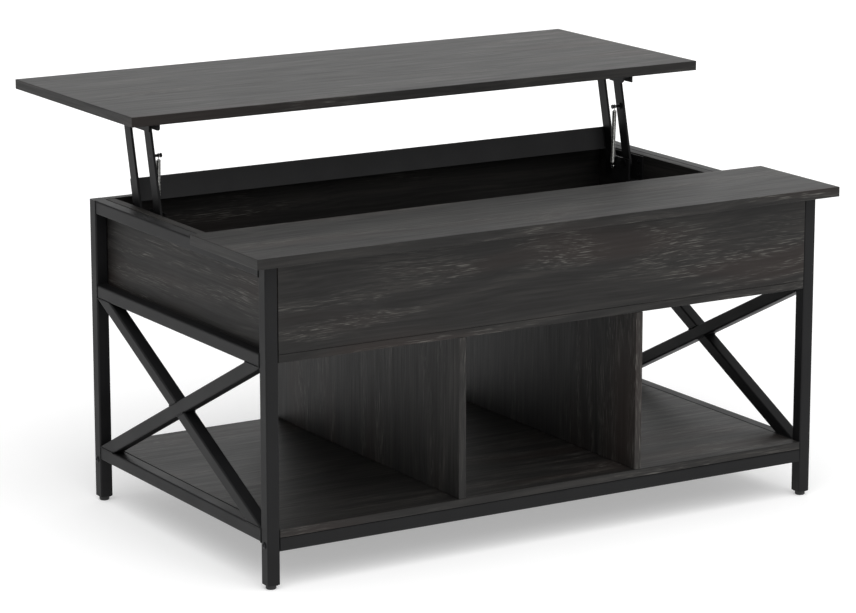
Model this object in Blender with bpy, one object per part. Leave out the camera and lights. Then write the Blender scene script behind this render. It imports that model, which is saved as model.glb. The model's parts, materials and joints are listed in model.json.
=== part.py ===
"""Lift-top coffee table, modelled with its top raised.

Two welded end frames of square steel tube, each with an X brace, carry a wooden box (the hidden
compartment) and an open shelf with two dividers. The front third of the table top is fixed. The
rest rises and moves back on two parallel-arm lift mechanisms, which a steel plate ties together.

Sizes below are for the closed table, measured from the middle of its footprint: X runs along the
table, -Y is its front, Z is up from the floor. The empty "table" carries everything and sets the
part's origin at the bottom centre of the box around the raised table.
"""
import math

import bmesh
import bpy
from mathutils import Vector

mm = 0.001

# ---- driving dimensions --------------------------------------------------------------------
TABLE_LENGTH = 1000 * mm
TABLE_DEPTH = 600 * mm
TABLE_HEIGHT = 485 * mm
TOP_THICKNESS = 15 * mm
STRIP_DEPTH = 200 * mm          # the fixed front part of the top
TOP_SEAM = 1 * mm               # between the fixed strip and the closed lift top
OVERHANG = 25 * mm              # of the top, past the end frames, all round

TUBE = 20 * mm                  # square steel tube
TUBE_WALL = 1.5 * mm
TUBE_CORNER = 2.5 * mm

BOARD = 15 * mm                 # aprons and side panels
THIN_BOARD = 12 * mm            # compartment floor, shelf and dividers
EDGE_ROUND = 0.8 * mm           # eased edge of every board
COMPARTMENT_FLOOR_TOP = 340 * mm
SHELF_TOP = 87 * mm
GLIDE_HEIGHT = 7 * mm
GLIDE_RADIUS = 7.7 * mm
GLIDE_PLUG_HEIGHT = 14 * mm

ARM_LENGTH = 142 * mm           # pivot to pivot
ARM_SPACING = 55 * mm           # front pivot to rear pivot
ARM_WIDTH = 20 * mm
ARM_THICKNESS = 4 * mm
REAR_PIVOT_Y = 206 * mm
PIVOT_DROP = 15 * mm            # top pivots, below the underside of the lift top
RAISED_LEAN = math.radians(13.5)    # past upright, towards the back
CLOSED_DIP = math.radians(1.0)      # below level, pointing forwards

PIN_RADIUS = 3.7 * mm
PIN_HEAD = 6 * mm
SPRING_PIN_ALONG_ARM = 91 * mm
SPRING_ANCHOR_BACK = 25 * mm    # from the front base pivot
SPRING_ANCHOR_DROP = 9.5 * mm
SPRING_RADIUS = 3.5 * mm
SPRING_WIRE = 1.6 * mm
SPRING_END = 12 * mm            # hook, from the pin's centre to the first turn
STRETCHER_WIDTH = 36 * mm       # plate that ties the rear arms together
STRETCHER_THICKNESS = 2 * mm
STRETCHER_FROM_PIVOT = 14 * mm

GAP = 0.3 * mm                  # between pieces that touch
ROUND = 24                      # sides of a pin or hole

# ---- worked out from them ------------------------------------------------------------------
UNDERSIDE = TABLE_HEIGHT - TOP_THICKNESS
FRAME_TOP = UNDERSIDE - 0.4 * mm
HALF_X = TABLE_LENGTH / 2 - OVERHANG        # outer faces of the end frames
HALF_Y = TABLE_DEPTH / 2 - OVERHANG         # outer faces of the posts, front and back
INNER_X = HALF_X - TUBE
INNER_Y = HALF_Y - TUBE
STRIP_BACK = -TABLE_DEPTH / 2 + STRIP_DEPTH
LONG_RAIL_TOP = SHELF_TOP - THIN_BOARD
DIVIDER_X = (2 * INNER_X - 2 * THIN_BOARD) / 6 + THIN_BOARD / 2     # three equal bays

RISE = ARM_LENGTH * (math.cos(RAISED_LEAN) + math.sin(CLOSED_DIP))
SETBACK = ARM_LENGTH * (math.sin(RAISED_LEAN) + math.cos(CLOSED_DIP))
BASE_PIVOT_Z = UNDERSIDE - PIVOT_DROP + ARM_LENGTH * math.sin(CLOSED_DIP)
REAR_PIVOT = Vector((0, REAR_PIVOT_Y, BASE_PIVOT_Z))
FRONT_PIVOT = REAR_PIVOT - Vector((0, ARM_SPACING, 0))
ALONG_ARM = Vector((0, math.sin(RAISED_LEAN), math.cos(RAISED_LEAN)))
RAISED_UNDERSIDE = UNDERSIDE + RISE
LIFT_FRONT = STRIP_BACK + TOP_SEAM + SETBACK
LIFT_BACK = TABLE_DEPTH / 2 + SETBACK
ORIGIN_Y = (LIFT_BACK - TABLE_DEPTH / 2) / 2

SPRING_ANCHOR = FRONT_PIVOT + Vector((0, SPRING_ANCHOR_BACK, -SPRING_ANCHOR_DROP))
SPRING_PIN = FRONT_PIVOT + ALONG_ARM * SPRING_PIN_ALONG_ARM
SPRING_LENGTH = (SPRING_PIN - SPRING_ANCHOR).length

# Layers of a lift mechanism, as distances from the table's middle plane, outside to inside.
PANEL_FACE = INNER_X - BOARD
PLATE_LAYER = (PANEL_FACE - GAP - 3 * mm, PANEL_FACE - GAP)
BRACKET_LAYER = (430.2 * mm, 432.7 * mm)
REAR_ARM_LAYER = (424.7 * mm, 424.7 * mm + ARM_THICKNESS)
FRONT_ARM_LAYER = (423.2 * mm - ARM_THICKNESS, 423.2 * mm)
EAR_LAYER = (414.6 * mm, 417.6 * mm)
TOP_EAR_LAYER = (413.9 * mm, 416.4 * mm)
SPRING_LAYER = 409.3 * mm
PIN_TIP = 404.6 * mm


# ---- scene, materials and helpers ----------------------------------------------------------
for old in list(bpy.data.objects):
    bpy.data.objects.remove(old, do_unlink=True)

table = bpy.data.objects.new("table", None)
table.location = (0, -ORIGIN_Y, 0)
bpy.context.collection.objects.link(table)


def finish(name, colour, roughness, metallic):
    """A plain Principled material: linear base colour, roughness and metallic value."""
    material = bpy.data.materials.new(name)
    material.use_nodes = True
    shader = material.node_tree.nodes["Principled BSDF"]
    shader.inputs["Base Color"].default_value = (*colour, 1)
    shader.inputs["Roughness"].default_value = roughness
    shader.inputs["Metallic"].default_value = metallic
    return material


LAMINATE = finish("black_oak_laminate", (0.040, 0.038, 0.036), 0.45, 0)
STEEL = finish("black_powder_coat", (0.028, 0.028, 0.028), 0.5, 0)
DARK_STEEL = finish("black_oxide_steel", (0.06, 0.06, 0.062), 0.4, 1)
ZINC = finish("zinc_plated_steel", (0.55, 0.55, 0.53), 0.35, 1)
PLASTIC = finish("black_plastic", (0.015, 0.015, 0.015), 0.55, 0)


def place(name, mesh, material, location=(0, 0, 0), lean=0.0):
    """Put a mesh in the scene as one named piece, carried by the table."""
    piece = bpy.data.objects.new(name, mesh)
    bpy.context.collection.objects.link(piece)
    piece.parent = table
    piece.location = location
    piece.rotation_euler = (-lean, 0, 0)
    if not mesh.materials:
        mesh.materials.append(material)
    return piece


def mesh_from(name, rings, caps, smooth=False):
    """A closed mesh from rings of points, joined in order; caps lists the rings to fill."""
    bm = bmesh.new()
    loops = [[bm.verts.new(point) for point in ring] for ring in rings]
    for one, two in zip(loops, loops[1:]):
        for k in range(len(one)):
            following = (k + 1) % len(one)
            bm.faces.new((one[k], one[following], two[following], two[k]))
    for index in caps:
        bm.faces.new(loops[index])
    if not caps:
        for k in range(len(loops[0])):
            following = (k + 1) % len(loops[0])
            bm.faces.new((loops[-1][k], loops[-1][following], loops[0][following], loops[0][k]))
    bmesh.ops.recalc_face_normals(bm, faces=bm.faces)
    mesh = bpy.data.meshes.new(name)
    bm.to_mesh(mesh)
    bm.free()
    if smooth:
        mesh.shade_smooth()
        mesh.set_sharp_from_angle(angle=math.radians(35))
    return mesh


def on_axis(axis, along, a, b):
    """The point at `along` on the axis, with a and b on the two others in X, Y, Z order."""
    if axis == "X":
        return (along, a, b)
    if axis == "Y":
        return (a, along, b)
    return (a, b, along)


def prism(name, outline, axis, low, high):
    """The outline, extruded along one axis."""
    rings = [[on_axis(axis, at, a, b) for a, b in outline] for at in (low, high)]
    return mesh_from(name, rings, (0, 1))


def turned(name, profile, axis, centre, sides=ROUND):
    """A turned piece: profile points (along, radius) spun about an axis through the centre."""
    circle = [(math.cos(2 * math.pi * k / sides), math.sin(2 * math.pi * k / sides))
              for k in range(sides)]
    rings = [[on_axis(axis, at, centre[0] + radius * c, centre[1] + radius * s) for c, s in circle]
             for at, radius in profile]
    return mesh_from(name, rings, (0, len(rings) - 1), smooth=True)


def rounded_square(width, corner, steps=4):
    """Outline of a square centred on zero, each corner an arc."""
    points = []
    middle = width / 2 - corner
    for quarter, (a, b) in enumerate(((1, 1), (-1, 1), (-1, -1), (1, -1))):
        for step in range(steps + 1):
            angle = math.pi / 2 * (quarter + step / steps)
            points.append((a * middle + corner * math.cos(angle),
                           b * middle + corner * math.sin(angle)))
    return points


def tube_mesh(name, axis, low, high, centre, capped=False):
    """Square tube along an axis, open at both ends, or with its high end closed."""
    outer = [(centre[0] + a, centre[1] + b) for a, b in rounded_square(TUBE, TUBE_CORNER)]
    inner = [(centre[0] + a, centre[1] + b)
             for a, b in rounded_square(TUBE - 2 * TUBE_WALL, TUBE_CORNER - TUBE_WALL)]

    def ring(outline, at):
        return [on_axis(axis, at, a, b) for a, b in outline]

    if capped:
        return mesh_from(name, [ring(outer, high), ring(outer, low), ring(inner, low),
                                ring(inner, high - TUBE_WALL)], (0, 3))
    return mesh_from(name, [ring(outer, low), ring(inner, low), ring(inner, high),
                            ring(outer, high)], ())


def board(name, low, high):
    """A board between two corners, with eased edges."""
    outline = [(low[1], low[2]), (high[1], low[2]), (high[1], high[2]), (low[1], high[2])]
    piece = place(name, prism(name, outline, "X", low[0], high[0]), LAMINATE)
    ease(piece, EDGE_ROUND, 2)
    return piece


def ease(piece, width, segments=1):
    """Round a piece's sharp edges."""
    bevel = piece.modifiers.new("eased_edges", "BEVEL")
    bevel.width = width
    bevel.segments = segments
    bevel.limit_method = "ANGLE"
    bevel.angle_limit = math.radians(40)


def combine(piece, operation, mesh, like=None):
    """Cut, clip or join a piece with a helper shape, which stays hidden."""
    helper = place(piece.name + "_" + operation.lower(), mesh, STEEL)
    helper.hide_render = True
    helper.display_type = "WIRE"
    if like is not None:
        helper.location = like.location
        helper.rotation_euler = like.rotation_euler
    boolean = piece.modifiers.new(helper.name, "BOOLEAN")
    boolean.operation = operation
    boolean.object = helper


def block(name, low, high):
    """A plain box between two corners, for a helper or a plate."""
    outline = [(low[1], low[2]), (high[1], low[2]), (high[1], high[2]), (low[1], high[2])]
    return prism(name, outline, "X", low[0], high[0])


def mirrored(side, layer):
    """A layer's two faces on the left (side -1) or the right (side 1), low X first."""
    return sorted((side * layer[0], side * layer[1]))


# ---- end frames ----------------------------------------------------------------------------
BRACE_LOW = SHELF_TOP
BRACE_HIGH = COMPARTMENT_FLOOR_TOP - TUBE
BRACE_MIDDLE_Z = (BRACE_LOW + BRACE_HIGH) / 2
BRACE_ANGLE = math.atan2(BRACE_HIGH - BRACE_LOW + TUBE, 2 * INNER_Y)
BRACE_REACH = INNER_Y + 60 * mm     # long enough to be cut off at the rails and posts


def brace(name, middle_x, slope, low_y, high_y):
    """One member of the X: a tube at an angle, cut off at the rails, the posts and low_y, high_y."""
    tube = tube_mesh(name, "Y", -BRACE_REACH, BRACE_REACH, (0, 0))
    piece = place(name, tube, STEEL, (middle_x, 0, BRACE_MIDDLE_Z), lean=-slope * BRACE_ANGLE)
    clip = block(name, (middle_x - TUBE, low_y, BRACE_LOW + GAP),
                 (middle_x + TUBE, high_y, BRACE_HIGH - GAP))
    combine(piece, "INTERSECT", clip)
    return piece


def end_frame(side, word):
    """Two posts, three rails and an X brace, welded."""
    middle_x = side * (HALF_X - TUBE / 2)
    for place_word, sign in (("front", -1), ("back", 1)):
        middle_y = sign * (HALF_Y - TUBE / 2)
        name = f"{word}_{place_word}_post"
        tube = tube_mesh(name, "Z", GLIDE_HEIGHT, FRAME_TOP, (middle_x, middle_y), capped=True)
        place(name, tube, STEEL)
        glide(f"{word}_{place_word}_glide", middle_x, middle_y)
    for rail, top in (("top_rail", FRAME_TOP), ("mid_rail", COMPARTMENT_FLOOR_TOP),
                      ("bottom_rail", SHELF_TOP)):
        name = f"{word}_{rail}"
        centre = (middle_x, top - TUBE / 2)
        place(name, tube_mesh(name, "Y", -INNER_Y + GAP, INNER_Y - GAP, centre), STEEL)

    reach = INNER_Y - GAP
    brace(f"{word}_brace_long", middle_x, -1, -reach, reach)
    half_width = TUBE / 2 + GAP
    for half, low_y, high_y in (("upper", 0, reach), ("lower", -reach, 0)):
        piece = brace(f"{word}_brace_{half}", middle_x, 1, low_y, high_y)
        crossing = block(piece.name, (-TUBE, -BRACE_REACH, -half_width),
                         (TUBE, BRACE_REACH, half_width))
        combine(piece, "DIFFERENCE", crossing)
        cutter = piece.modifiers[-1].object
        cutter.location = (middle_x, 0, BRACE_MIDDLE_Z)
        cutter.rotation_euler = (-BRACE_ANGLE, 0, 0)


def glide(name, middle_x, middle_y):
    """Plastic foot: a round pad under a square plug that fits inside the post."""
    pad_top = GLIDE_HEIGHT - GAP
    profile = [(0, GLIDE_RADIUS - 1.2 * mm), (1.2 * mm, GLIDE_RADIUS), (pad_top, GLIDE_RADIUS)]
    foot = place(name, turned(name, profile, "Z", (middle_x, middle_y)), PLASTIC)
    width = TUBE - 2 * TUBE_WALL - 2 * GAP
    outline = [(middle_x + a, middle_y + b) for a, b in rounded_square(width, 1.5 * mm, 1)]
    combine(foot, "UNION", prism(name, outline, "Z", pad_top - 1 * mm,
                                 GLIDE_HEIGHT + GLIDE_PLUG_HEIGHT))


for side, word in ((-1, "left"), (1, "right")):
    end_frame(side, word)

for word, sign in (("front", -1), ("back", 1)):
    name = f"{word}_bottom_rail"
    centre = (sign * (HALF_Y - TUBE / 2), LONG_RAIL_TOP - TUBE / 2)
    place(name, tube_mesh(name, "X", -INNER_X + GAP, INNER_X - GAP, centre), STEEL)


# ---- boards --------------------------------------------------------------------------------
clear_x = INNER_X - GAP
board("fixed_top_strip", (-TABLE_LENGTH / 2, -TABLE_DEPTH / 2, UNDERSIDE),
      (TABLE_LENGTH / 2, STRIP_BACK, TABLE_HEIGHT))
for word, low_y in (("front", -HALF_Y), ("back", HALF_Y - BOARD)):
    board(f"{word}_apron", (-clear_x, low_y, COMPARTMENT_FLOOR_TOP + GAP),
          (clear_x, low_y + BOARD, FRAME_TOP))
board("compartment_floor", (-clear_x, -HALF_Y, COMPARTMENT_FLOOR_TOP - THIN_BOARD),
      (clear_x, HALF_Y, COMPARTMENT_FLOOR_TOP))
board("bottom_shelf", (-clear_x, -HALF_Y, LONG_RAIL_TOP + GAP), (clear_x, HALF_Y, SHELF_TOP))
panel_y = HALF_Y - BOARD - GAP
for side, word in ((-1, "left"), (1, "right")):
    x_faces = mirrored(side, (PANEL_FACE, clear_x))
    board(f"{word}_side_panel", (x_faces[0], -panel_y, COMPARTMENT_FLOOR_TOP + GAP),
          (x_faces[1], panel_y, FRAME_TOP))
    middle_x = side * DIVIDER_X
    board(f"{word}_divider", (middle_x - THIN_BOARD / 2, -HALF_Y, SHELF_TOP + GAP),
          (middle_x + THIN_BOARD / 2, HALF_Y, COMPARTMENT_FLOOR_TOP - THIN_BOARD - GAP))
board("lift_top", (-TABLE_LENGTH / 2, LIFT_FRONT, RAISED_UNDERSIDE),
      (TABLE_LENGTH / 2, LIFT_BACK, RAISED_UNDERSIDE + TOP_THICKNESS))


# ---- lift mechanisms -----------------------------------------------------------------------
HOLE_RADIUS = PIN_RADIUS + GAP
SPRING_PIN_RADIUS = 2.2 * mm
PLATE_FRONT = FRONT_PIVOT.y - 19 * mm
PLATE_BACK = REAR_PIVOT.y + 30 * mm
PLATE_TOP = UNDERSIDE - 2 * mm
PLATE_BOTTOM = BASE_PIVOT_Z - 32 * mm
EAR_FRONT = FRONT_PIVOT.y - 13 * mm
EAR_BACK = SPRING_ANCHOR.y + 11 * mm
EAR_TOP = BASE_PIVOT_Z + 7 * mm
BRACKET_FRONT = FRONT_PIVOT.y + ALONG_ARM.y * ARM_LENGTH - 28 * mm
BRACKET_BACK = BRACKET_FRONT + 106 * mm
BRACKET_TOP = RAISED_UNDERSIDE - GAP
BRACKET_FLANGE = 2.4 * mm
BRACKET_REACH = 404 * mm            # inner edge of the flange that is screwed to the lift top
TOP_EAR_BACK = BRACKET_FRONT + 38 * mm
TOP_EAR_CORNER = 5 * mm


def hole(piece, x_faces, centre, radius, like=None):
    """Drill along X through the given faces."""
    over = 1 * mm
    profile = [(x_faces[0] - over, radius), (x_faces[1] + over, radius)]
    combine(piece, "DIFFERENCE", turned(piece.name, profile, "X", centre), like)


def arm_outline(length):
    """Flat bar with round ends, from a pivot at zero straight up to one at the length."""
    radius = ARM_WIDTH / 2
    steps = 10
    angles = [math.pi * (1 + k / steps) for k in range(steps + 1)]
    low = [(radius * math.cos(angle), radius * math.sin(angle)) for angle in angles]
    high = [(-y, length - z) for y, z in low]
    return low + high


def arm(name, side, layer, pivot, holes):
    """One lift arm on its base pivot, leaning back, with holes at the distances given."""
    faces = mirrored(side, layer)
    mesh = prism(name, arm_outline(ARM_LENGTH), "X", *faces)
    piece = place(name, mesh, STEEL, pivot, lean=RAISED_LEAN)
    ease(piece, 0.4 * mm)
    for distance, radius in holes:
        hole(piece, faces, (0, distance), radius, like=piece)
    return piece


def pin(name, side, stages, centre):
    """A turned pin along X: stages are (from, to, radius), distances from the middle plane."""
    profile = []
    for start, end, radius in stages:
        profile += [(side * start, radius), (side * end, radius)]
    return place(name, turned(name, profile, "X", (centre.y, centre.z)), DARK_STEEL)


def base_bracket(side, word):
    """Channel screwed to the side panel: a tall outer plate, a web and an inner ear."""
    outer, ear = PLATE_LAYER, EAR_LAYER
    name = f"{word}_base_bracket"
    thick = 3 * mm
    outline = [(side * a, b) for a, b in (
        (outer[1], PLATE_BOTTOM), (outer[1], PLATE_TOP), (outer[0], PLATE_TOP),
        (outer[0], PLATE_BOTTOM + thick), (ear[1], PLATE_BOTTOM + thick), (ear[1], EAR_TOP),
        (ear[0], EAR_TOP), (ear[0], PLATE_BOTTOM))]
    piece = place(name, prism(name, outline, "Y", PLATE_FRONT, PLATE_BACK), STEEL)
    x_faces = mirrored(side, (ear[0] - thick, outer[0]))
    for low_y, high_y in ((PLATE_FRONT - thick, EAR_FRONT), (EAR_BACK, PLATE_BACK + thick)):
        combine(piece, "DIFFERENCE", block(name, (x_faces[0], low_y, PLATE_BOTTOM - thick),
                                           (x_faces[1], high_y, PLATE_TOP + thick)))
    hole(piece, mirrored(side, outer), (REAR_PIVOT.y, REAR_PIVOT.z), HOLE_RADIUS)
    hole(piece, mirrored(side, ear), (FRONT_PIVOT.y, FRONT_PIVOT.z), HOLE_RADIUS)
    hole(piece, mirrored(side, ear), (SPRING_ANCHOR.y, SPRING_ANCHOR.z), SPRING_PIN_RADIUS + GAP)


def top_bracket(side, word, front_top, rear_top):
    """Angle screwed under the lift top, with a pivot hole for each arm, and a short ear on the
    inner side of the front arm that holds the other end of its pin."""
    name = f"{word}_top_bracket"
    layer = BRACKET_LAYER
    low = rear_top.z - ARM_WIDTH / 2
    outline = [(side * a, b) for a, b in (
        (layer[1], low), (layer[1], BRACKET_TOP), (BRACKET_REACH, BRACKET_TOP),
        (BRACKET_REACH, BRACKET_TOP - BRACKET_FLANGE), (layer[0], BRACKET_TOP - BRACKET_FLANGE),
        (layer[0], low))]
    piece = place(name, prism(name, outline, "Y", BRACKET_FRONT, BRACKET_BACK), STEEL)
    ear = mirrored(side, TOP_EAR_LAYER)
    corner = [math.pi / 2 * (2 + k / 5) for k in range(6)]
    outline = [(BRACKET_FRONT, BRACKET_TOP - GAP)]
    outline += [(BRACKET_FRONT + TOP_EAR_CORNER * (1 + math.cos(angle)),
                 low + TOP_EAR_CORNER * (1 + math.sin(angle))) for angle in corner]
    outline += [(TOP_EAR_BACK, low), (TOP_EAR_BACK, BRACKET_TOP - GAP)]
    combine(piece, "UNION", prism(name, outline, "X", *ear))
    for centre in (front_top, rear_top):
        hole(piece, mirrored(side, layer), (centre.y, centre.z), HOLE_RADIUS)
    hole(piece, ear, (front_top.y, front_top.z), HOLE_RADIUS)


def hook(radius, high):
    """Outline of a wire eye around a pin at zero, with its shank rising to the height given."""
    half = SPRING_WIRE / 2
    steps = 20
    start = math.asin(half / radius)
    sweep = 2 * math.pi - 2 * start
    angles = [start + sweep * k / steps for k in range(steps + 1)]
    arc = [(radius * math.sin(angle), radius * math.cos(angle)) for angle in angles]
    return [(-half, high), (half, high)] + arc


def spring(side, word):
    """Tension spring between the anchor and the arm's pin: the coil with its lower eye, and the
    upper eye, which draws away from the coil as the spring stretches."""
    reach = SPRING_PIN - SPRING_ANCHOR
    lean = math.atan2(reach.y, reach.z)
    faces = mirrored(side, (SPRING_LAYER - SPRING_WIRE / 2, SPRING_LAYER + SPRING_WIRE / 2))
    eye = SPRING_PIN_RADIUS + GAP
    outer = eye + SPRING_WIRE
    coil_low, coil_high = SPRING_END, SPRING_LENGTH - SPRING_END
    name = f"{word}_spring"
    profile = [(coil_low, SPRING_RADIUS - 0.8 * mm), (coil_low + 0.8 * mm, SPRING_RADIUS),
               (coil_high - 0.8 * mm, SPRING_RADIUS), (coil_high, SPRING_RADIUS - 0.8 * mm)]
    body = turned(name, profile, "Z", (side * SPRING_LAYER, 0))
    coil = place(name, body, ZINC, SPRING_ANCHOR, lean)
    eye_outline = hook(outer, coil_low + 1 * mm)
    combine(coil, "UNION", prism(name, eye_outline, "X", *faces), like=coil)
    hole(coil, faces, (0, 0), eye, like=coil)

    name = f"{word}_spring_hook"
    flipped = [(y, -z) for y, z in hook(outer, SPRING_END - GAP)]
    upper = place(name, prism(name, flipped, "X", *faces), ZINC, SPRING_PIN, lean)
    hole(upper, faces, (0, 0), eye, like=upper)


front_top = FRONT_PIVOT + ALONG_ARM * ARM_LENGTH
rear_top = REAR_PIVOT + ALONG_ARM * ARM_LENGTH
neck = PIN_RADIUS
thin = SPRING_PIN_RADIUS
ends = ((0, HOLE_RADIUS), (ARM_LENGTH, HOLE_RADIUS))
for side, word in ((-1, "left"), (1, "right")):
    base_bracket(side, word)
    top_bracket(side, word, front_top, rear_top)
    arm(f"{word}_rear_arm", side, REAR_ARM_LAYER, REAR_PIVOT, ends)
    arm(f"{word}_front_arm", side, FRONT_ARM_LAYER, FRONT_PIVOT,
        ends + ((SPRING_PIN_ALONG_ARM, thin + GAP),))

    rear_in, rear_out = REAR_ARM_LAYER[0] - GAP, REAR_ARM_LAYER[1] + GAP
    front_in, front_out = FRONT_ARM_LAYER[0] - GAP, FRONT_ARM_LAYER[1] + GAP
    plate_in, plate_out = PLATE_LAYER[0] - GAP, PLATE_LAYER[1] - GAP
    pin(f"{word}_rear_base_pin", side, (
        (rear_in - 1.8 * mm, rear_in, PIN_HEAD), (rear_in, rear_out, neck),
        (rear_out, plate_in, PIN_HEAD), (plate_in, plate_out, neck)), REAR_PIVOT)
    pin(f"{word}_front_base_pin", side, (
        (EAR_LAYER[0] - GAP - 0.9 * mm, EAR_LAYER[0] - GAP, PIN_HEAD),
        (EAR_LAYER[0] - GAP, EAR_LAYER[1] + GAP, neck), (EAR_LAYER[1] + GAP, front_in, PIN_HEAD),
        (front_in, front_out, neck), (front_out, front_out + 0.8 * mm, PIN_HEAD)), FRONT_PIVOT)
    ear_in, ear_out = TOP_EAR_LAYER[0] - GAP, TOP_EAR_LAYER[1] + GAP
    through_ear = ((ear_in - 0.9 * mm, ear_in, PIN_HEAD - 1 * mm), (ear_in, ear_out, neck))
    for place_word, arm_in, arm_out, centre, start in (
            ("rear", rear_in, rear_out, rear_top, ((rear_in - 0.9 * mm, rear_in, PIN_HEAD),)),
            ("front", front_in, front_out, front_top,
             through_ear + ((ear_out, front_in, PIN_HEAD),))):
        pin(f"{word}_{place_word}_top_pin", side, start + (
            (arm_in, arm_out, neck), (arm_out, BRACKET_LAYER[0] - GAP, PIN_HEAD - 1 * mm),
            (BRACKET_LAYER[0] - GAP, BRACKET_LAYER[1] + GAP, neck),
            (BRACKET_LAYER[1] + GAP, BRACKET_LAYER[1] + GAP + 1 * mm, PIN_HEAD)), centre)

    tip = (PIN_TIP, PIN_TIP + 1.4 * mm, 3.5 * mm)
    pin(f"{word}_spring_pin", side, (
        tip, (tip[1], front_in - 2 * mm, thin), (front_in - 2 * mm, front_in, 5 * mm),
        (front_in, FRONT_ARM_LAYER[1], thin)), SPRING_PIN)      # flush: the rear arm passes here
    pin(f"{word}_spring_anchor", side, (
        tip, (tip[1], EAR_LAYER[1] + GAP, thin),
        (EAR_LAYER[1] + GAP, EAR_LAYER[1] + GAP + 1 * mm, 4.5 * mm)), SPRING_ANCHOR)
    spring(side, word)

stretcher_y = ARM_WIDTH / 2 + GAP
stretcher = place("arm_stretcher", block(
    "arm_stretcher", (-REAR_ARM_LAYER[1], stretcher_y, STRETCHER_FROM_PIVOT),
    (REAR_ARM_LAYER[1], stretcher_y + STRETCHER_THICKNESS, STRETCHER_FROM_PIVOT + STRETCHER_WIDTH)),
    STEEL, REAR_PIVOT, lean=RAISED_LEAN)
ease(stretcher, 0.4 * mm)
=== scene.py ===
# %% [markdown]
# # A lift-top coffee table in black oak laminate and powder-coated steel
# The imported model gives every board, tube, arm and pin its exact place. This file gives them their
# finishes and adds what the solids leave out: coiled springs, screws, bolts and weld beads. It is
# written as short cells, each of which makes one thing and prints what it made.

# %% Load the frame and keep its box
import json
import math

import bpy
import numpy as np
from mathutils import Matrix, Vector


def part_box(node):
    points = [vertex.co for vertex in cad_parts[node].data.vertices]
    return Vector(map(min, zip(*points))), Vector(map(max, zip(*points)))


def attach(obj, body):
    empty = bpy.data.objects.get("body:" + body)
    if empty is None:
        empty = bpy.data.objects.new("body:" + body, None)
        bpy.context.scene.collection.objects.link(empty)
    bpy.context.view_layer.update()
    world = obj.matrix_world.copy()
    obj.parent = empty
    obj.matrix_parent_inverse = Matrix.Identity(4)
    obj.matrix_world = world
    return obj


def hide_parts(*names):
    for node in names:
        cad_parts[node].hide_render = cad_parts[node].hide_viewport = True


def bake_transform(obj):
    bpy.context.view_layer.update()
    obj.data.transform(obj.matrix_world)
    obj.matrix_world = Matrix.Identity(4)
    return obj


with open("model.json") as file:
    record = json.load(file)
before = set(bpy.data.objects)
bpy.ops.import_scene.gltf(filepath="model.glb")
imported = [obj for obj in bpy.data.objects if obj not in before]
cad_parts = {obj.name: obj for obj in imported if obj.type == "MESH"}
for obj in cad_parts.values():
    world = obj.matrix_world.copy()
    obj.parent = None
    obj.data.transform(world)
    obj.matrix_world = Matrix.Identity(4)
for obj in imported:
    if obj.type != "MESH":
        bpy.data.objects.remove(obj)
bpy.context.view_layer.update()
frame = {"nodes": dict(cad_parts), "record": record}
nodes = frame["nodes"]
mm = 0.001

# %% [markdown]
# ## Camera
# A product view of a low table is taken from far away with a long lens, so that the long edges stay
# nearly parallel. The camera stands front left of the table and looks down on it a little.

# %% Camera
CAMERA_PLACE = (-2.7742, -4.5816, 1.5234)
CAMERA_TURN = math.radians(31.27)       # to the right of straight ahead
CAMERA_TILT = math.radians(13.04)       # below level
LENS = 150.0                            # on a 36 mm sensor

camera_data = bpy.data.cameras.new("camera")
camera_data.lens = LENS
camera_data.clip_end = 60
camera = bpy.data.objects.new("camera", camera_data)
camera.location = CAMERA_PLACE
camera.rotation_euler = (math.pi / 2 - CAMERA_TILT, 0, -CAMERA_TURN)
bpy.context.scene.collection.objects.link(camera)
bpy.context.scene.camera = camera
print("camera at", CAMERA_PLACE, "lens", LENS)

# %% [markdown]
# ## Colours and nodes
# Paint and laminate are picked as hex colours, as on a screen. Cycles works in linear light, so one
# function turns each hex value into linear red, green and blue. A second small function adds a
# shader node with its settings and its links, and every material below is built with it.

# %% Hex to linear, and one node at a time
def linear(hexcode):
    """sRGB hex to linear RGBA: below 0.04045 divide by 12.92, above it a power of 2.4."""
    value = np.array([int(hexcode[k:k + 2], 16) for k in (1, 3, 5)]) / 255
    curve = np.where(value <= 0.04045, value / 12.92, ((value + 0.055) / 1.055) ** 2.4)
    return (*curve.tolist(), 1.0)


def add(tree, kind, settings=None, links=None):
    """A shader node: settings are properties or constant sockets, links are sockets it reads."""
    node = tree.nodes.new("ShaderNode" + kind)
    for name, value in (settings or {}).items():
        if isinstance(name, str) and name not in node.inputs:
            setattr(node, name, value)
    for name, value in (settings or {}).items():
        if not isinstance(name, str) or name in node.inputs:
            node.inputs[name].default_value = value
    for name, source in (links or {}).items():
        tree.links.new(source, node.inputs[name])
    return node


def start(name, **sockets):
    """A new material with the Principled shader's constant sockets set: its tree and shader."""
    material = bpy.data.materials.new(name)
    material.use_nodes = True
    shader = material.node_tree.nodes["Principled BSDF"]
    for socket, value in sockets.items():
        shader.inputs[socket.replace("_", " ")].default_value = value
    return material, material.node_tree, shader


print("a mid grey, linear:", [round(v, 3) for v in linear("#808080")])

# %% [markdown]
# ## Black oak laminate
# The boards are particle board faced with a printed melamine paper, pressed against a textured
# plate. The print is charred oak: nearly black, with nested arches of growth rings, fine streaks
# along the grain, brownish patches, and short pale pores that catch the light where they crowd
# together. A scan would need an image, so the grain is worked out in space instead: noise that is
# drawn out along the grain. The arches are the level lines of one slow noise, which is how a saw
# cut through growth rings makes them. A table has boards that run along X, along Y and upright, so
# the same recipe is used with its grain turned.

# %% Laminate recipe
def per(length_mm):
    """Pattern scale in cycles per metre, from the size of one cycle in millimetres."""
    return 1000 / length_mm


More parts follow.
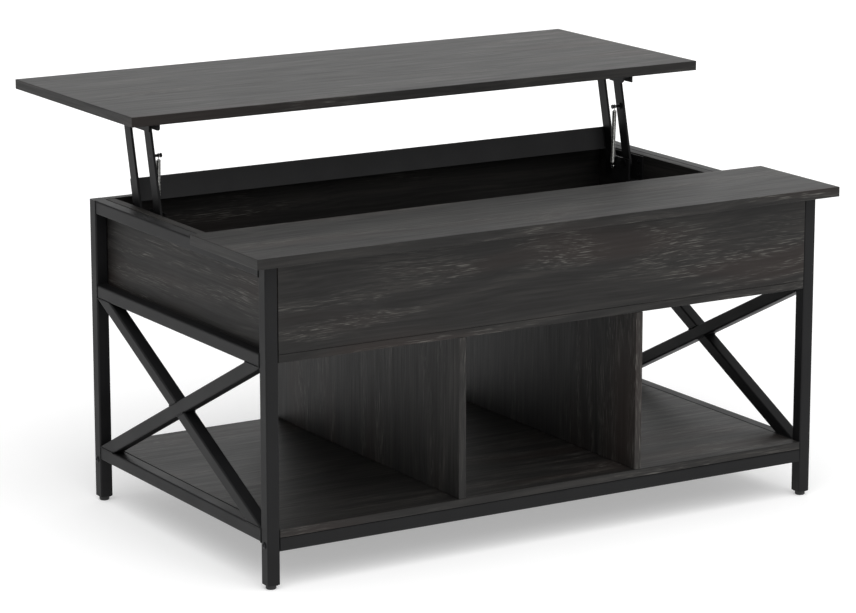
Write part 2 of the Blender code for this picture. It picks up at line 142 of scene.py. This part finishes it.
ARCH_MM = (1100, 110)          # one swell of the slow noise, along and across the grain
RINGS_PER_SWELL = 9            # growth rings in one swell
STREAK_MM = (160, 4.2)
PORE_MM = (34, 1.2)            # real pores are about 0.3 mm wide: drawn wider, or they vanish
PATCH_MM = (520, 85)           # brownish areas, where the pores crowd as well
RELIEF_MM = 0.08               # depth of the pressed texture
WAVE_MM = (230, 70)            # the fibres lean gently one way and the other
WAVE_DEPTH = 0.022             # how far, in metres from one side of a wave to the other
RING_SHARE = 0.085             # how far the rings move the tone; the streaks do the rest


def grain_noise(tree, vector, size, detail, roughness):
    """Noise drawn out along the grain: its cells have the size given, along and across."""
    stretch = (per(size[0]), per(size[1]), per(size[1]))
    mapped = add(tree, "Mapping", {"Scale": stretch}, {"Vector": vector})
    return add(tree, "TexNoise", {"Scale": 1.0, "Detail": detail, "Roughness": roughness},
               {"Vector": mapped.outputs[0]}).outputs["Fac"]


def black_oak(name, order, turned_ends=False, gloss=(0.56, 0.46)):
    """Laminate whose grain runs along the first axis of `order`. On the ends of boards that run
    along X, the edging's grain turns to run along Y."""
    material, tree, shader = start(name, IOR=1.5, Specular_IOR_Level=0.25)
    axes = add(tree, "SeparateXYZ", links={0: add(tree, "TexCoord").outputs["Object"]})
    along = {k: axes.outputs[axis] for k, axis in enumerate(order)}
    grain = add(tree, "CombineXYZ", links=along).outputs[0]
    if turned_ends:
        swapped = add(tree, "CombineXYZ", links={0: axes.outputs[1], 1: axes.outputs[0],
                                                 2: axes.outputs[2]})
        normal = add(tree, "SeparateXYZ", links={0: add(tree, "NewGeometry").outputs["Normal"]})
        size = add(tree, "Math", {"operation": "ABSOLUTE"}, {0: normal.outputs[0]})
        is_end = add(tree, "Math", {"operation": "GREATER_THAN", 1: 0.7}, {0: size.outputs[0]})
        grain = add(tree, "Mix", {"data_type": "VECTOR"},
                    {0: is_end.outputs[0], 4: grain, 5: swapped.outputs[0]}).outputs[1]

    wave = grain_noise(tree, grain, WAVE_MM, 1, 0.4)
    sideways = add(tree, "Math", {"operation": "MULTIPLY", 1: WAVE_DEPTH}, {0: wave})
    lean = add(tree, "CombineXYZ", links={1: sideways.outputs[0], 2: sideways.outputs[0]})
    grain = add(tree, "VectorMath", {"operation": "ADD"}, {0: grain, 1: lean.outputs[0]}).outputs[0]
    swell = grain_noise(tree, grain, ARCH_MM, 1.2, 0.35)
    turns = add(tree, "Math", {"operation": "MULTIPLY", 1: 2 * math.pi * RINGS_PER_SWELL},
                {0: swell})
    rings = add(tree, "Math", {"operation": "SINE"}, {0: turns.outputs[0]})
    streaks = grain_noise(tree, grain, STREAK_MM, 4, 0.62)
    patches = grain_noise(tree, grain, PATCH_MM, 2, 0.5)
    pores = grain_noise(tree, grain, PORE_MM, 2, 0.5)

    tone = add(tree, "Math", {"operation": "MULTIPLY_ADD", 1: RING_SHARE},
               {0: rings.outputs[0], 2: streaks})
    ground = add(tree, "ValToRGB", links={0: tone.outputs[0]})
    stops = ground.color_ramp.elements
    stops[0].position, stops[0].color = 0.30, linear("#171615")
    stops[1].position, stops[1].color = 0.72, linear("#2b2927")
    middle = stops.new(0.52)
    middle.color = linear("#201f1e")

    warm = add(tree, "MapRange", {"interpolation_type": "SMOOTHSTEP", 1: 0.50, 2: 0.68,
                                  3: 0.0, 4: 0.55}, {0: patches})
    browned = add(tree, "Mix", {"data_type": "RGBA", 7: linear("#2c2421")},
                  {0: warm.outputs[0], 6: ground.outputs[0]})

    crowd = add(tree, "MapRange", {"interpolation_type": "SMOOTHSTEP", 1: 0.40, 2: 0.60},
                {0: patches})
    on_ring = add(tree, "MapRange", {"interpolation_type": "SMOOTHSTEP", 1: -0.9, 2: 0.8},
                  {0: rings.outputs[0]})
    open_pore = add(tree, "MapRange", {"interpolation_type": "SMOOTHSTEP", 1: 0.52, 2: 0.74},
                    {0: pores})
    where = add(tree, "Math", {"operation": "MULTIPLY"},
                {0: crowd.outputs[0], 1: on_ring.outputs[0]})
    ticks = add(tree, "Math", {"operation": "MULTIPLY"},
                {0: where.outputs[0], 1: open_pore.outputs[0]})
    colour = add(tree, "Mix", {"data_type": "RGBA", 7: linear("#5c5a56")},
                 {0: ticks.outputs[0], 6: browned.outputs[2]})
    tree.links.new(colour.outputs[2], shader.inputs["Base Color"])

    sheen = add(tree, "MapRange", {1: 0.3, 2: 0.7, 3: gloss[0], 4: gloss[1]}, {0: streaks})
    tree.links.new(sheen.outputs[0], shader.inputs["Roughness"])
    relief = add(tree, "Math", {"operation": "MULTIPLY_ADD", 1: 0.5}, {0: pores, 2: streaks})
    bump = add(tree, "Bump", {"Strength": 0.22, "Distance": RELIEF_MM * mm},
               {"Height": relief.outputs[0]})
    tree.links.new(bump.outputs[0], shader.inputs["Normal"])
    return material


OAK_ALONG_X = black_oak("black_oak_laminate_long", (0, 1, 2), turned_ends=True)
OAK_ALONG_Y = black_oak("black_oak_laminate_side", (1, 0, 2), gloss=(0.62, 0.54))
OAK_UPRIGHT = black_oak("black_oak_laminate_upright", (2, 0, 1))
print("laminates:", OAK_ALONG_X.name, OAK_ALONG_Y.name, OAK_UPRIGHT.name)

# %% [markdown]
# ## Powder coat, plated wire, oxide-black steel and plastic
# The tubes are sprayed with polyester powder and baked. The coat flows into a fine orange peel,
# with swells about a millimetre apart, and stays a little open in the gloss. Fixings are steel
# turned black in an oxide bath and oiled, so they shine softly. The wide plate that ties the arms
# together takes a lighter, greyer black than the powder: painted light, lifting the shade it lies
# in under the raised top. The springs are drawn wire with a bright zinc plate. The feet and the
# caps are moulded polypropylene with a spark-eroded grain.

# %% Metal and plastic finishes
def surface(name, colours, patch_mm, roughness, grain_mm, relief_mm, strength, **sockets):
    """A finish with two tones in slow patches, a roughness that drifts with them, and a fine
    relief: noise with cells of grain_mm, relief_mm high."""
    material, tree, shader = start(name, **sockets)
    place = add(tree, "TexCoord").outputs["Object"]
    slow = add(tree, "TexNoise", {"Scale": per(patch_mm), "Detail": 3.0}, {"Vector": place})
    fine = add(tree, "TexNoise", {"Scale": per(grain_mm), "Detail": 2.0}, {"Vector": place})
    tones = add(tree, "ValToRGB", links={0: slow.outputs["Fac"]})
    for stop, at, hexcode in zip(tones.color_ramp.elements, (0.35, 0.65), colours):
        stop.position, stop.color = at, linear(hexcode)
    gloss = add(tree, "MapRange", {1: 0.3, 2: 0.7, 3: roughness[0], 4: roughness[1]},
                {0: slow.outputs["Fac"]})
    bump = add(tree, "Bump", {"Strength": strength, "Distance": relief_mm * mm},
               {"Height": fine.outputs["Fac"]})
    tree.links.new(tones.outputs[0], shader.inputs["Base Color"])
    tree.links.new(gloss.outputs[0], shader.inputs["Roughness"])
    tree.links.new(bump.outputs[0], shader.inputs["Normal"])
    return material


POWDER_COAT = surface("black_polyester_powder_coat", ("#111112", "#161617"), 70, (0.46, 0.54), 0.9,
                      0.05, 0.35, IOR=1.5, Specular_IOR_Level=0.2)
OXIDE_STEEL = surface("black_oxide_steel", ("#2b2b2d", "#3a3a3c"), 6, (0.34, 0.46), 0.5,
                      0.02, 0.25, Metallic=1.0)
# painted light: a lighter black than the powder coat, to lift the shade under the raised top
PLATE_LIGHTENED_AS_PAINTED_FILL = surface("black_steel_plate_with_painted_fill_light", ("#262627", "#2e2e2f"), 50, (0.44, 0.52), 1.4,
                       0.03, 0.30, IOR=1.5, Specular_IOR_Level=0.3)
ZINC_WIRE = surface("zinc_plated_spring_wire", ("#a9a9a6", "#c4c4c0"), 5, (0.24, 0.36), 0.4,
                    0.01, 0.25, Metallic=1.0)
PLASTIC = surface("black_polypropylene", ("#151516", "#1b1b1c"), 12, (0.50, 0.60), 0.6,
                  0.04, 0.40, IOR=1.49)
print("finishes:", [m.name for m in (POWDER_COAT, OXIDE_STEEL, PLATE_LIGHTENED_AS_PAINTED_FILL, ZINC_WIRE, PLASTIC)])

# %% [markdown]
# ## Finishes for the boards, tubes, arms and pins
# Each solid keeps its shape and takes a finish on its own material slot. Boards are sorted by the
# way their grain runs: lengthwise on everything wide, front to back on the side panels, and upright
# on the dividers. The steel plate between the arms takes a lighter black as painted fill light.

# %% Give every solid its finish
UPRIGHT_BOARDS = ("left_divider", "right_divider")
SIDE_BOARDS = ("left_side_panel", "right_side_panel")
slots = {row["node"]: row["material_slot"] for row in frame["record"]["subparts"]}
by_slot = {"laminate": OAK_ALONG_X, "powder_coat": POWDER_COAT, "dark_steel": OXIDE_STEEL,
           "zinc": ZINC_WIRE, "plastic": PLASTIC}
for name, node in nodes.items():
    coat = by_slot[slots[name]]
    if name in UPRIGHT_BOARDS:
        coat = OAK_UPRIGHT
    if name in SIDE_BOARDS:
        coat = OAK_ALONG_Y
    # painted light: the stretcher plate is lightened to lift the shade under the raised top
    if name == "arm_stretcher":
        coat = PLATE_LIGHTENED_AS_PAINTED_FILL
    node.material_slots[0].material = coat
print("painted", len(nodes), "solids")

# %% [markdown]
# ## Surfaces from grids
# Every added piece is a grid of points: rings along one way, points round each ring the other way.
# One function turns one or more grids into a mesh, joining each ring to the next and closing the
# two ends with a single face, so the piece is a closed shell.

# %% Grids to a mesh
SHARP_FROM = math.radians(38)           # edges that turn by more than this stay sharp


def shells(name, grids, material, body=None):
    """One object from closed shells. Point j of ring i in a grid has the number i * width + j, so
    each face joins points j and j + 1 of rings i and i + 1; the first and last rings get a cap."""
    points, faces, total = [], [], 0
    for grid in grids:
        rings, width = grid.shape[:2]
        i, j = np.meshgrid(np.arange(rings - 1), np.arange(width), indexing="ij")
        following = (j + 1) % width
        quads = np.stack([i * width + j, i * width + following, (i + 1) * width + following,
                          (i + 1) * width + j], axis=-1).reshape(-1, 4) + total
        faces += quads.tolist()
        faces.append((np.arange(width)[::-1] + total).tolist())
        faces.append((np.arange(width) + total + (rings - 1) * width).tolist())
        points.append(grid.reshape(-1, 3))
        total += rings * width
    mesh = bpy.data.meshes.new(name)
    mesh.from_pydata(np.concatenate(points).tolist(), [], faces)
    mesh.update()
    mesh.shade_smooth()
    mesh.set_sharp_from_angle(angle=SHARP_FROM)
    mesh.materials.append(material)
    piece = bpy.data.objects.new(name, mesh)
    bpy.context.scene.collection.objects.link(piece)
    if body:
        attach(piece, body)
    return piece


def swept(path, hint, radius, sides=8):
    """A round bar along a path: at each point a circle in the plane across the path. The circle's
    first direction is the hint with its part along the path taken away."""
    ahead = np.gradient(path, axis=0)
    ahead /= np.linalg.norm(ahead, axis=1, keepdims=True)
    first = hint - ahead * np.sum(hint * ahead, axis=1, keepdims=True)
    first /= np.linalg.norm(first, axis=1, keepdims=True)
    second = np.cross(ahead, first)
    turn = np.linspace(0, 2 * math.pi, sides, endpoint=False)
    width = np.broadcast_to(np.asarray(radius, float), len(path))[:, None, None]
    return (path[:, None] + width * (first[:, None] * np.cos(turn)[None, :, None]
                                     + second[:, None] * np.sin(turn)[None, :, None]))


print("grid helpers ready")

# %% [markdown]
# ## Springs
# A tension spring on each side pulls the front arm over its top dead point, so the raised top stays
# up. It is close-wound wire with a short hook and a full eye at each end. A helix is a circle that
# climbs one pitch per turn. The eyes lie in the plane of the arms, round the two pins, and straight
# shanks lead from them to the coil. The wire is one path, so it is one piece.

# %% Where the springs go
WIRE = 1.3 * mm
COIL_RADIUS = 3.5 * mm - WIRE / 2       # to the middle of the wire
EYE_RADIUS = 3.1 * mm
EYE_POINTS, SHANK_POINTS, TURN_POINTS = 40, 25, 20
HOOK = 7 * mm                           # from a pin's middle to the first turn
TURNS = 62


def middle(name):
    """The middle of a node's box at rest."""
    low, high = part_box(name)
    return np.array((low + high) / 2)


def spring_ends(word):
    """The anchor and the arm's pin, taken at the spring's own distance from the middle plane."""
    low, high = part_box(word + "_spring_hook")
    layer = (low.x + high.x) / 2
    return [np.array([layer, *middle(word + "_spring_" + node)[1:]]) for node in ("anchor", "pin")]


for word in ("left", "right"):
    anchor, top = spring_ends(word)
    print(word, "spring, mm between pins:", round(np.linalg.norm(top - anchor) / mm, 1))

# %% [markdown]
# The path is worked out in the spring's own axes: x across, v forwards, w from the lower pin to the
# upper one. The direction that the wire's cross-section starts from turns with the path, so that it
# never twists: outwards on the eyes and the coil, and forwards on the shanks. A short running mean
# rounds the corners where a shank meets its eye.

# %% Wire path
def softened(values, width=7):
    """Running mean along the path, with both ends held."""
    padded = np.concatenate([np.repeat(values[:1], width // 2, 0), values,
                             np.repeat(values[-1:], width // 2, 0)])
    kernel = np.ones(width) / width
    return np.stack([np.convolve(padded[:, k], kernel, "valid") for k in range(3)], axis=1)


def lower_end():
    """Eye round the lower pin, open for 35 degrees, then the shank up to the coil. Over its last
    part the shank bends out to the coil's radius: three times the square less twice the cube."""
    angle = np.radians(np.linspace(125, 450, EYE_POINTS))
    outwards = np.stack([np.zeros(EYE_POINTS), np.cos(angle), np.sin(angle)], axis=1)
    steps = np.linspace(0, 1, SHANK_POINTS + 1)[1:]
    climb = EYE_RADIUS + (HOOK - EYE_RADIUS) * steps
    bend = np.clip((steps - 0.55) / 0.45, 0, 1)
    reach = COIL_RADIUS * bend * bend * (3 - 2 * bend)
    shank = np.stack([np.zeros(SHANK_POINTS), reach, climb], axis=1)
    forwards = np.tile([0.0, 1.0, 0.0], (SHANK_POINTS, 1))
    path = np.concatenate([outwards * EYE_RADIUS, shank])
    return softened(path), softened(np.concatenate([outwards, forwards]))


def wire_path(length):
    """Lower end, coil, and the lower end again turned end for end: w becomes length - w."""
    path, hint = lower_end()
    angle = math.pi / 2 + np.linspace(0, 2 * math.pi * TURNS, TURNS * TURN_POINTS + 1)[1:-1]
    outwards = np.stack([np.cos(angle), np.sin(angle), np.zeros_like(angle)], axis=1)
    coil = outwards * COIL_RADIUS
    coil[:, 2] = np.linspace(HOOK, length - HOOK, len(angle))
    flip = np.array([1, 1, -1])
    far_path = path[::-1] * flip + np.array([0, 0, length])
    far_hint = hint[::-1] * flip
    return np.concatenate([path, coil, far_path]), np.concatenate([hint, outwards, far_hint])


print("points on the wire:", len(wire_path(98 * mm)[0]))

# %% [markdown]
# Each spring's wire is then carried to its place between the two pins. It takes the place of the
# plain spring solids.

# %% Make both springs
def spring_wire(word):
    """The wire of one spring, carried from its own axes to where the pins are."""
    anchor, top = spring_ends(word)
    length = np.linalg.norm(top - anchor)
    up = (top - anchor) / length
    across = np.array([1.0, 0.0, 0.0])
    forwards = np.cross(up, across)
    axes = np.stack([across, forwards, up])
    path, hint = wire_path(length)
    grid = swept(path @ axes + anchor, hint @ axes, WIRE / 2)
    piece = shells(word + "_spring_wire", [grid], ZINC_WIRE)
    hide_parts(word + "_spring", word + "_spring_hook")
    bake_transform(piece)
    return piece


springs = [spring_wire(word) for word in ("left", "right")]
print("spring triangles:", [2 * len(s.data.polygons) for s in springs])

# %% [markdown]
# ## Screws and bolts
# Flat-packed furniture is held by cross-head screws in the boards and by button-head socket bolts
# in the steel. Both heads are a dome over a disc with a driver's recess. The head is a height over
# a polar grid: the dome falls away as the square of the distance from the middle, and the recess is
# the part of it within a cross or a hexagon, pushed down.

# %% One fixing head
AXES = {"x": 0, "y": 1, "z": 2}
HEAD_SIDES = 48
SUNK = 0.2 * mm                         # a head's rim starts this far inside its plate
# Rings of a head, as shares of its radius: two at the rim, then closer over the recess.
HEAD_RINGS = np.array([1.0, 1.0, 0.97, 0.86, 0.72, 0.60, 0.52, 0.46, 0.38, 0.30, 0.22, 0.14, 0.05])


def cross_recess(x, y):
    """Depth share of a cross recess: full inside two crossed bars, none outside them."""
    along, over = np.maximum(abs(x), abs(y)), np.minimum(abs(x), abs(y))
    return np.clip((0.56 - along) / 0.10, 0, 1) * np.clip((0.15 - over) / 0.06, 0, 1)


def hex_recess(x, y):
    """Depth share of a hexagonal socket: full where all three pairs of flats are further out."""
    turns = np.radians([0, 60, 120])
    furthest = np.max([abs(x * math.cos(t) + y * math.sin(t)) for t in turns], axis=0)
    return np.clip((0.46 - furthest) / 0.05, 0, 1)


def head(place, way, radius, height, recess):
    """A head standing out from `place` along `way`, such as "+x": a closed grid of rings. Its dome
    falls by 0.62 of the height as the square of the distance out, and the recess takes 0.55."""
    order = np.arange(len(HEAD_RINGS))
    level = np.where(order == 0, 0.0, 1 - 0.62 * HEAD_RINGS ** 2)
    turn = np.linspace(0, 2 * math.pi, HEAD_SIDES, endpoint=False)
    x, y = np.outer(HEAD_RINGS, np.cos(turn)), np.outer(HEAD_RINGS, np.sin(turn))
    rise = height * (level[:, None] - 0.55 * recess(x, y) * (order > 1)[:, None])
    rise[0] = -SUNK
    axis, sign = AXES[way[1]], 1 if way[0] == "+" else -1
    a, b = ((axis + 1) % 3, (axis + 2) % 3)
    grid = np.zeros((*x.shape, 3))
    grid[..., axis] = sign * rise
    grid[..., a] = radius * x
    grid[..., b] = sign * radius * y
    return grid + np.array(place)


def fixings(name, places, way, size, recess, body, material=OXIDE_STEEL):
    """A group of equal heads that face the same way, as one piece. Size is radius and height."""
    heads = [head(place, way, *size, recess) for place in places]
    print(name, len(places))
    return shells(name, heads, material, body)


print("head triangles:", 2 * (len(HEAD_RINGS) - 1) * HEAD_SIDES)

# %% [markdown]
# ### Where they go
# The places are read from the solids: the face of a plate, a rail or a flange, a few millimetres
# in from its ends. Four screws hold each base bracket to its side panel, and three hold each top
# bracket under the lift top, in a row clear of the bracket's two walls.

# %% Screws in the brackets
SIDES = ((-1, "left"), (1, "right"))
SCREW, LOW_SCREW = (3.6 * mm, 2.0 * mm), (3.6 * mm, 1.6 * mm)      # radius and height
PLATE_FACE = 436.7 * mm                 # inner faces of the base brackets' plates
PLATE_EDGE, PLATE_FOOT = 9 * mm, 12 * mm         # from the screws to the plate's edges
TOP_FLANGE = 2.4 * mm                   # from the top bracket's highest face to its flange's lower
FLANGE_LINE = 409 * mm                  # the row of flange screws, from the middle plane
FLANGE_END = 12 * mm
for side, word in SIDES:
    inwards = "+x" if side < 0 else "-x"
    low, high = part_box(word + "_base_bracket")
    places = [(side * PLATE_FACE, y, z) for y in (low.y + PLATE_EDGE, high.y - PLATE_EDGE)
              for z in (low.z + PLATE_FOOT, high.z - PLATE_EDGE)]
    fixings(word + "_base_screws", places, inwards, SCREW, cross_recess, "table")

    low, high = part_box(word + "_top_bracket")
    ys = (low.y + FLANGE_END, (low.y + high.y) / 2, high.y - FLANGE_END)
    places = [(side * FLANGE_LINE, y, high.z - TOP_FLANGE) for y in ys]
    fixings(word + "_top_screws", places, "-z", LOW_SCREW, cross_recess, "raised_top")

# %% [markdown]
# Socket bolts pass through the posts into the ends of the two long bottom rails. Screws rise
# through the top rails into the fixed strip, through the long rails into the shelf, and through the
# shelf and the compartment floor into the ends of the dividers.

# %% Bolts in the posts and screws in the rails
BOLT = (4.6 * mm, 2.3 * mm)
STRIP_SCREWS = (40 * mm, 130 * mm)      # from the front end of a top rail
SHELF_SCREWS = (-300 * mm, 0, 300 * mm)
for side, word in SIDES:
    outwards = "-x" if side < 0 else "+x"
    places = []
    for rail in ("front_bottom_rail", "back_bottom_rail"):
        centre = middle(rail)
        post_low, post_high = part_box(f"{word}_{rail.split('_')[0]}_post")
        face = post_low.x if side < 0 else post_high.x
        places.append((face, centre[1], centre[2]))
    fixings(word + "_post_bolts", places, outwards, BOLT, hex_recess, "table")

    low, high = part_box(word + "_top_rail")
    centre = middle(word + "_top_rail")
    places = [(centre[0], low.y + far, low.z) for far in STRIP_SCREWS]
    fixings(word + "_strip_screws", places, "-z", SCREW, cross_recess, "table")

for word in ("front", "back"):
    low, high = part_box(word + "_bottom_rail")
    centre = middle(word + "_bottom_rail")
    places = [(x, centre[1], low.z) for x in SHELF_SCREWS]
    fixings(word + "_shelf_screws", places, "-z", SCREW, cross_recess, "table")

# %% [markdown]
# The dividers are held at both ends, so each has three screws in its foot and three in its head.

# %% Screws into the dividers
DIVIDER_SCREWS = (-215 * mm, 0, 215 * mm)
for word in ("left", "right"):
    centre = middle(word + "_divider")
    ys = [centre[1] + far for far in DIVIDER_SCREWS]
    shelf_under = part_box("bottom_shelf")[0].z
    floor_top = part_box("compartment_floor")[1].z
    fixings(word + "_divider_foot_screws", [(centre[0], y, shelf_under) for y in ys], "-z",
            SCREW, cross_recess, "table")
    fixings(word + "_divider_head_screws", [(centre[0], y, floor_top) for y in ys], "+z",
            SCREW, cross_recess, "table")

# %% [markdown]
# ## Cam caps
# The compartment's corners are drawn together by cams let into the side panels. Each cam is hidden
# by a pressed-in plastic cap, a thin disc with a rounded rim and a shallow dish.

# %% Cam caps inside the compartment
CAP = (8.5 * mm, 1.1 * mm)
CAP_END, CAP_EDGE = 15 * mm, 32 * mm    # from the caps to the panel's ends and long edges


def dish(x, y):
    """A shallow dish instead of a driver's recess: it falls off as the square of the distance."""
    return 0.35 * np.clip(1 - (x * x + y * y) / 0.5, 0, 1)


for side, word in SIDES:
    low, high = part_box(word + "_side_panel")
    face = high.x if side < 0 else low.x
    places = [(face, y, z) for y in (low.y + CAP_END, high.y - CAP_END)
              for z in (low.z + CAP_EDGE, high.z - CAP_EDGE)]
    fixings(word + "_cam_caps", places, "+x" if side < 0 else "-x", CAP, dish, "table",
            PLASTIC)

# %% [markdown]
# ## Weld beads
# The end frames are welded, then coated. A bead is a row of overlapping puddles: a bar along the
# joint whose radius swells and sinks once per puddle. The rails' beads go round the corner of the
# tube on the faces that no board covers. The braces' beads follow the lines where their side faces
# meet the rails and each other.

# %% Bead along a line
BEAD_RADIUS = 1.25 * mm
PUDDLE = 2.2 * mm


def bead(corners):
    """A bead through the corner points, with even steps and rounded corners. Its radius swells as
    the size of a sine, one hump per puddle, and falls to half at both ends."""
    corners = np.array(corners, float)
    legs = np.linalg.norm(np.diff(corners, axis=0), axis=1)
    along = np.concatenate([[0], np.cumsum(legs)])
    at = np.linspace(0, along[-1], max(12, int(along[-1] / PUDDLE * 5)))
    path = softened(np.stack([np.interp(at, along, corners[:, k]) for k in range(3)], axis=1), 5)
    path[0], path[-1] = corners[0], corners[-1]
    ends = np.clip(np.minimum(at, along[-1] - at) / BEAD_RADIUS, 0.25, 1) ** 0.5
    swell = 0.86 + 0.14 * np.abs(np.sin(math.pi * at / PUDDLE))
    hint = np.tile([0.31, 0.52, 0.79], (len(path), 1))      # along none of the joints
    return swept(path, hint, BEAD_RADIUS * ends * swell)


print("rings in a 60 mm bead:", len(bead([(0, 0, 0), (0, 0.06, 0)])))

# %% [markdown]
# A brace's side face is a parallelogram. Its upper edge meets the rail where the line of the brace,
# raised by half the tube's slant height, reaches the rail. The crossing is the same sum, turned by
# twice the brace's angle.

# %% Beads on both end frames
FRAME_Y = middle("front_bottom_rail")[1] / 2 + middle("back_bottom_rail")[1] / 2
OUTER_X = 475 * mm                      # outer faces of the end frames
TUBE = 20 * mm
for side, word in SIDES:
    outer, inner = side * OUTER_X, side * (OUTER_X - TUBE)
    grids = []
    for rail, faces in (("top_rail", 3), ("mid_rail", 4), ("bottom_rail", 4)):
        low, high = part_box(f"{word}_{rail}")
        for y in (low.y, high.y):
            corners = [(inner, y, low.z), (outer, y, low.z), (outer, y, high.z), (inner, y, high.z)]
            grids.append(bead(corners[:faces]))
    rail_low, rail_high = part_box(word + "_mid_rail")[0].z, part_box(word + "_bottom_rail")[1].z
    middle_z = (rail_low + rail_high) / 2
    half_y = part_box(word + "_mid_rail")[1].y - FRAME_Y
    angle = math.atan2(rail_low - rail_high + TUBE, 2 * half_y)
    slant = TUBE / 2 / math.cos(angle)
    half_height = (rail_low - rail_high) / 2
    reach = (half_height - slant) / math.tan(angle)
    corner_y = TUBE / 2 / math.sin(angle)
    for x in (outer, inner):
        for end in (-1, 1):
            for z in (rail_low, rail_high):
                grids.append(bead([(x, FRAME_Y + end * reach, z), (x, FRAME_Y + end * half_y, z)]))
        for end in (-1, 1):
            grids.append(bead([(x, FRAME_Y, middle_z + end * slant),
                               (x, FRAME_Y + end * corner_y, middle_z)]))
    shells(word + "_frame_welds", grids, POWDER_COAT, "table")
    print(word, "frame beads:", len(grids))

# %% [markdown]
# The plate that ties the rear arms together is welded to each of them with one upright bead. The
# arms lean back while the top is raised, and so does the bead.

# %% Beads between the stretcher and the rear arms
ARM_LEAN = math.radians(13.5)           # of the raised arms, past upright
ARM_FACE = 424.4 * mm                   # just inside the rear arms' inner faces
BEHIND_PIVOT = 10.2 * mm
BEAD_FROM, BEAD_TO = 17 * mm, 47 * mm   # along the arm, from its pivot
up = np.array([0, math.sin(ARM_LEAN), math.cos(ARM_LEAN)])
back = np.array([0, math.cos(ARM_LEAN), -math.sin(ARM_LEAN)])
pivot = middle("left_rear_base_pin") * np.array([0, 1, 1])
for side, word in SIDES:
    foot = pivot + np.array([side * ARM_FACE, 0, 0]) + back * BEHIND_PIVOT
    shells(word + "_stretcher_weld", [bead([foot + up * BEAD_FROM, foot + up * BEAD_TO])],
           POWDER_COAT, "rear_arms")
print("stretcher welded at both ends")

# %% [markdown]
# ## Floor and light
# The table stands on white paper that runs out of view. The paper glows a little, as on a light
# table, so that the shadows on it stay faint.

# %% Floor
FLOOR_HALF = 30.0
PAPER_GLOW = 0.38               # lit from below as well, so that shadows on it stay faint
floor_mesh = bpy.data.meshes.new("floor")
corners = [(x * FLOOR_HALF, y * FLOOR_HALF, 0) for x, y in ((-1, -1), (1, -1), (1, 1), (-1, 1))]
floor_mesh.from_pydata(corners, [], [(0, 1, 2, 3)])
floor = bpy.data.objects.new("floor", floor_mesh)
bpy.context.scene.collection.objects.link(floor)
paper = start("white_background_paper", Roughness=0.9, Specular_IOR_Level=0.0,
              Base_Color=linear("#d8d8d8"), Emission_Color=linear("#ffffff"),
              Emission_Strength=PAPER_GLOW)[0]
floor_mesh.materials.append(paper)
print("floor half width, m:", FLOOR_HALF)

# %% [markdown]
# A wide overhead light, a little in front of the table, gives most of the light. A softbox in front
# lifts the aprons, one behind gives the tops a glancing sheen, and the sky fills in the rest.

# %% Lights
SUN_STRENGTH = 2.3
SKY_STRENGTH = 0.40


def softbox(name, place, aim, width, height, watts):
    """A rectangular light at `place` that faces `aim`."""
    data = bpy.data.lights.new(name, "AREA")
    data.shape = "RECTANGLE"
    data.size, data.size_y = width, height
    data.energy = watts
    lamp = bpy.data.objects.new(name, data)
    lamp.location = place
    towards = np.array(aim) - np.array(place)
    level = math.hypot(towards[0], towards[1])
    turn = math.atan2(towards[0], -towards[1]) + math.pi
    lamp.rotation_euler = (math.atan2(level, -towards[2]), 0, turn)
    lamp.visible_camera = False
    bpy.context.scene.collection.objects.link(lamp)


softbox("front_light", (0.2, -4.0, 2.2), (0, 0, 0.4), 2.4, 1.6, 15)
softbox("back_light", (2.2, 3.6, 1.9), (0, 0, 0.5), 3.5, 2.2, 24)
overhead_data = bpy.data.lights.new("overhead_light", "SUN")
overhead_data.energy = SUN_STRENGTH
overhead_data.angle = math.radians(75)  # as wide as a large diffuser, so shadows are soft
overhead = bpy.data.objects.new("overhead_light", overhead_data)
overhead.rotation_euler = (math.radians(22), math.radians(-8), 0)
bpy.context.scene.collection.objects.link(overhead)
world = bpy.data.worlds.new("studio")
world.use_nodes = True
sky = world.node_tree.nodes["Background"]
sky.inputs["Color"].default_value = linear("#ffffff")
sky.inputs["Strength"].default_value = SKY_STRENGTH
bpy.context.scene.world = world
bpy.context.scene.view_settings.view_transform = "Standard"
print("a wide overhead light, two softboxes and a plain sky")
